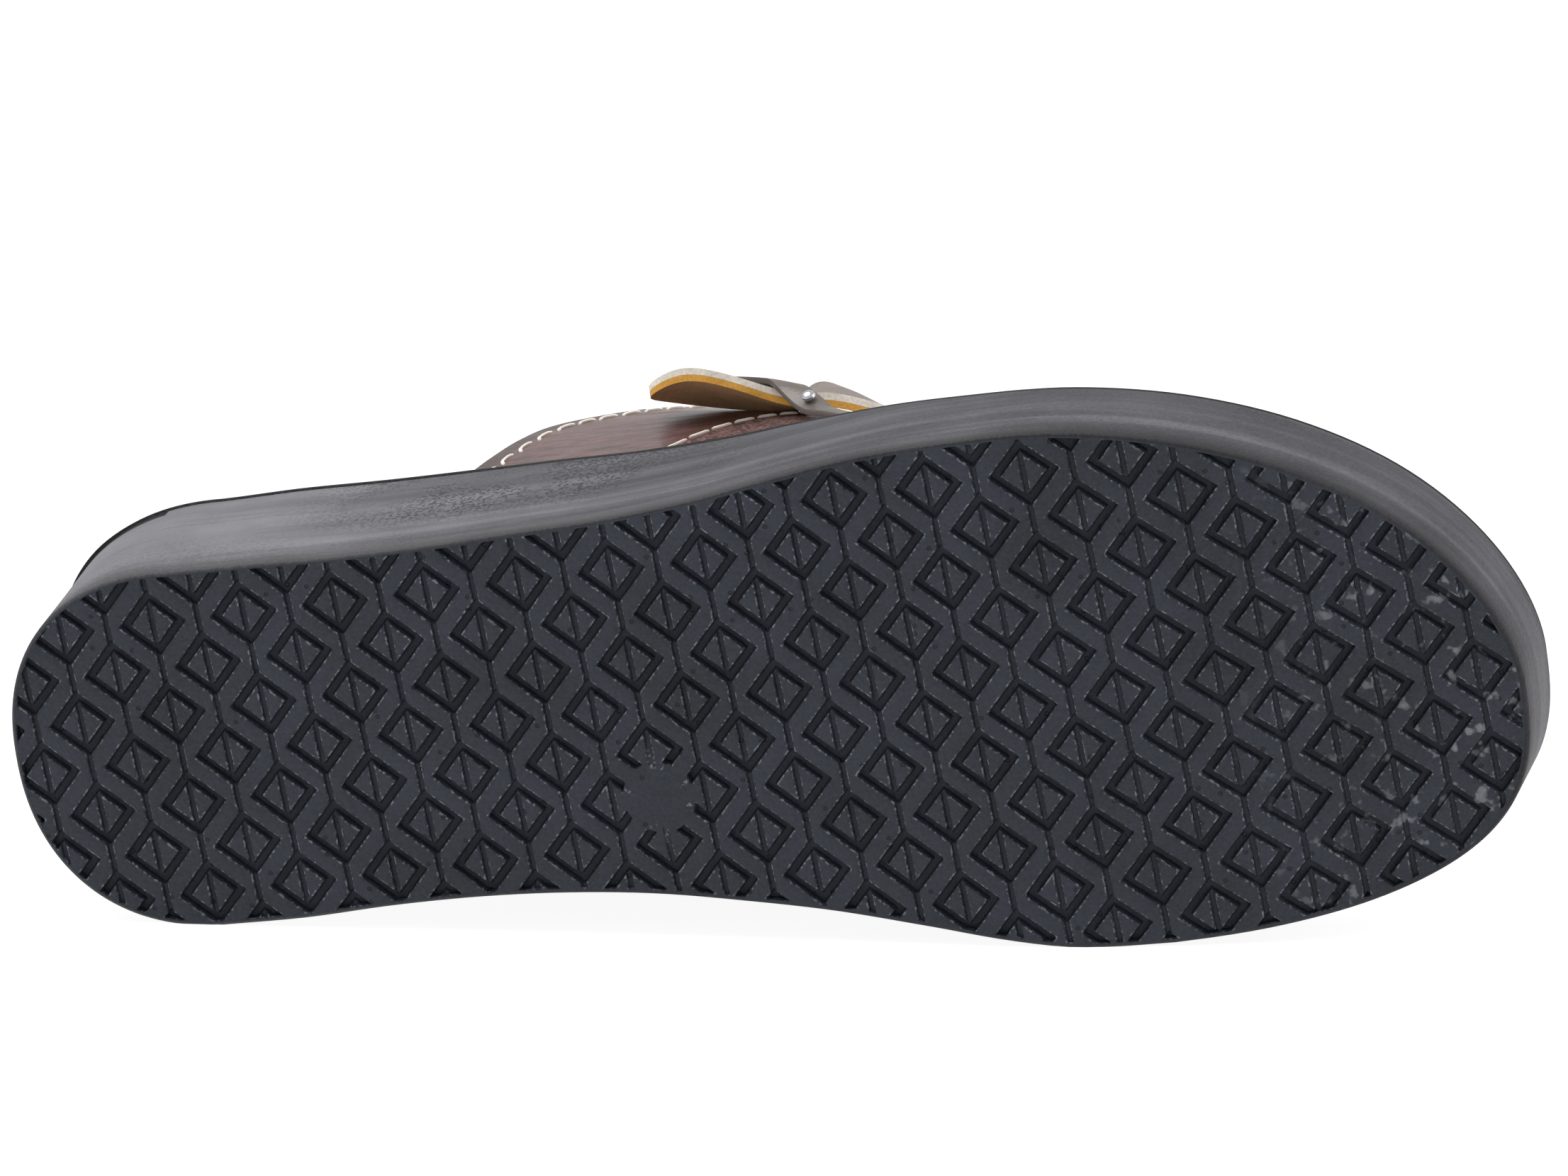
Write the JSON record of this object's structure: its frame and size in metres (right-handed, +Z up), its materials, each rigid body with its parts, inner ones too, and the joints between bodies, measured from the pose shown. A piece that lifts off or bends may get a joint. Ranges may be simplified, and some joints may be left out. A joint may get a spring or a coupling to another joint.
{
  "type": "leather flip-flop",
  "caption": "Right-foot leather flip-flop with a wedge sole, diamond tread, broad stitched strap, toe post and a leather bow on the outer arm, lying on its inner side.",
  "frame": {"origin": "on the floor, under the middle of the shoe's bounding box as it lies on its inner side", "axes": "+X towards the toe, +Z up from the floor towards the shoe's outer side, the tread faces -Y"},
  "size_m": [0.2534, 0.0948, 0.0906],
  "materials": {
    "sole": "moulded charcoal foam rubber, worn to a low sheen on the lugs",
    "insole": "smooth brown leather footbed",
    "upper": "glossy dark brown leather with pale stitching",
    "toe_post": "dark brown leather",
    "bow_leaf_under": "tan cut edge, brown suede back",
    "bow_leaf_top": "pale natural leather",
    "bow_band": "smooth grey-brown leather",
    "stud": "polished"
  },
  "bodies": {
    "root": {"sole": "sole", "insole": "insole", "upper": "upper", "toe_post": "toe_post", "bow_leaf_under": "bow_leaf_under", "bow_leaf_top": "bow_leaf_top", "bow_band": "bow_band", "stud": "stud"}
  },
  "joints": []
}
